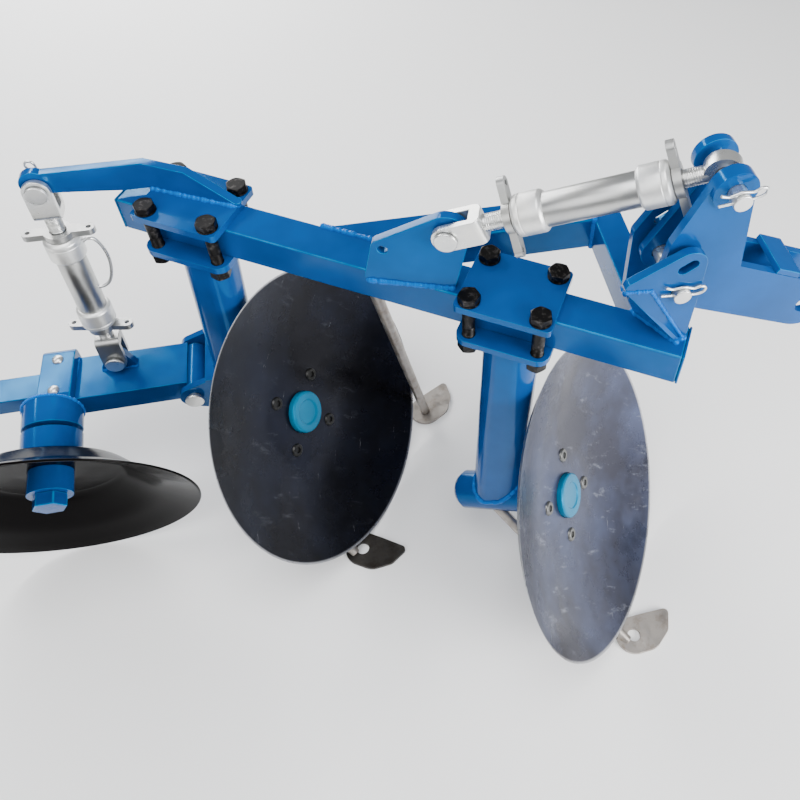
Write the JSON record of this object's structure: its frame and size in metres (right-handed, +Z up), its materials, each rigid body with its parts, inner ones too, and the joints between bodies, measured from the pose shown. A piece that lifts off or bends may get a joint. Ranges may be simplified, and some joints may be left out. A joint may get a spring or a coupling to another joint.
{
  "type": "disc plough",
  "caption": "Small mounted disc plough: slanted beam with dished discs on clamped legs, a tail wheel and a pinned hitch headstock, each set by a turnbuckle link.",
  "frame": {"origin": "centre of the bounding box on the floor plane", "axes": "+X the way it travels, +Y its left side, +Z up"},
  "size_m": [1.23, 0.632, 0.8043],
  "materials": {
    "blue_paint": "gloss",
    "disc_steel": "polished, scuffed",
    "zinc": "bright zinc plate",
    "black_bolt": "black oxide",
    "bare_steel": "bare, stained",
    "black_enamel": "gloss black"
  },
  "bodies": {
    "frame": {"beam_end_caps": "blue_paint", "cross_tube": "blue_paint", "front_clamp_bolts": "black_bolt", "front_clamp_bottom": "blue_paint", "front_clamp_top": "blue_paint", "front_foot": "bare_steel", "front_foot_strut": "bare_steel", "front_housing": "blue_paint", "front_leg": "blue_paint", "headstock_far_lug": "blue_paint", "headstock_gusset": "blue_paint", "headstock_near_lug": "blue_paint", "headstock_pin": "zinc", "long_tube": "blue_paint", "main_beam": "blue_paint", "prop_foot": "bare_steel", "prop_rod": "bare_steel", "rear_clamp_bolts": "black_bolt", "rear_clamp_bottom": "blue_paint", "rear_clamp_top": "blue_paint", "rear_foot": "bare_steel", "rear_foot_strut": "bare_steel", "rear_housing": "blue_paint", "rear_leg": "blue_paint", "tail_arm_pin": "zinc", "tail_bar": "blue_paint", "tail_bracket": "blue_paint", "tail_link_top_pin": "zinc", "top_link_lug": "blue_paint", "top_link_pin": "zinc"},
    "rear_disc": {"rear_disc": "disc_steel", "rear_disc_hub": "blue_paint", "rear_disc_cap": "blue_paint"},
    "front_disc": {"front_disc": "disc_steel", "front_disc_hub": "blue_paint", "front_disc_cap": "blue_paint"},
    "headstock": {"headstock_near_cheek": "blue_paint", "headstock_far_cheek": "blue_paint", "headstock_spacer": "blue_paint", "headstock_strip": "blue_paint", "top_link_ear_pin": "zinc"},
    "top_link": {"top_link_fork": "zinc", "top_link_barrel": "zinc", "top_link_lock_nuts": "zinc"},
    "top_link_rod": {"top_link_rod": "zinc"},
    "tail_link": {"tail_link_fork": "zinc", "tail_link_barrel": "zinc", "tail_link_lock_nuts": "zinc"},
    "tail_link_rod": {"tail_link_rod": "zinc"},
    "tail_arm": {"tail_arm": "blue_paint", "tail_arm_lug": "blue_paint", "tail_link_low_pin": "zinc", "wheel_block": "blue_paint", "tail_wheel_spindle": "blue_paint", "tail_stub": "blue_paint"},
    "tail_wheel": {"tail_wheel_dish": "black_enamel", "tail_wheel_hub": "blue_paint", "tail_wheel_nut": "blue_paint"}
  },
  "joints": [
    {"name": "rear_disc_spin", "type": "hinge", "parent": "frame", "child": "rear_disc", "pos_m": [-0.01168, 0.11192, 0.20601], "axis": [0.7678, -0.4613, 0.4446], "continuous": true},
    {"name": "front_disc_spin", "type": "hinge", "parent": "frame", "child": "front_disc", "pos_m": [0.36085, -0.11192, 0.20601], "axis": [0.7678, -0.4613, 0.4446], "continuous": true},
    {"name": "headstock_tilt", "type": "hinge", "parent": "frame", "child": "headstock", "pos_m": [0.401, -0.06922, 0.65], "axis": [0, 1, 0], "range_deg": [-2, 5]},
    {"name": "top_link_tilt", "type": "hinge", "parent": "frame", "child": "top_link", "pos_m": [0.17, 0.01878, 0.656], "axis": [0.3141, 0.9494, 0], "range_deg": [-1.6, 1.6]},
    {"name": "top_link_screw", "type": "slide", "parent": "top_link", "child": "top_link_rod", "axis": [0.8693, -0.2876, 0.402], "range_m": [-0.00941, 0.00941]},
    {"name": "tail_arm_lift", "type": "hinge", "parent": "frame", "child": "tail_arm", "pos_m": [-0.206, 0.22178, 0.222], "axis": [0, 1, 0], "range_deg": [-7, 7]},
    {"name": "tail_link_tilt", "type": "hinge", "parent": "frame", "child": "tail_link", "pos_m": [-0.313, 0.25278, 0.594], "axis": [0, 1, 0], "range_deg": [-2, 2]},
    {"name": "tail_link_screw", "type": "slide", "parent": "tail_link", "child": "tail_link_rod", "axis": [-0.0031, -0.0551, -0.9985], "range_m": [-0.01451, 0.01451]},
    {"name": "tail_wheel_spin", "type": "hinge", "parent": "tail_arm", "child": "tail_wheel", "pos_m": [-0.41, 0.02278, 0.20022], "axis": [0, 0.9767, 0.2147], "continuous": true}
  ],
  "couplings": [
    {"joint": "top_link_tilt", "follows": "headstock_tilt", "ratio": 0.26564},
    {"joint": "top_link_screw", "follows": "headstock_tilt", "m_per_rad": 0.098068},
    {"joint": "tail_link_tilt", "follows": "tail_arm_lift", "ratio": -0.13968},
    {"joint": "tail_link_screw", "follows": "tail_arm_lift", "m_per_rad": -0.10797}
  ]
}
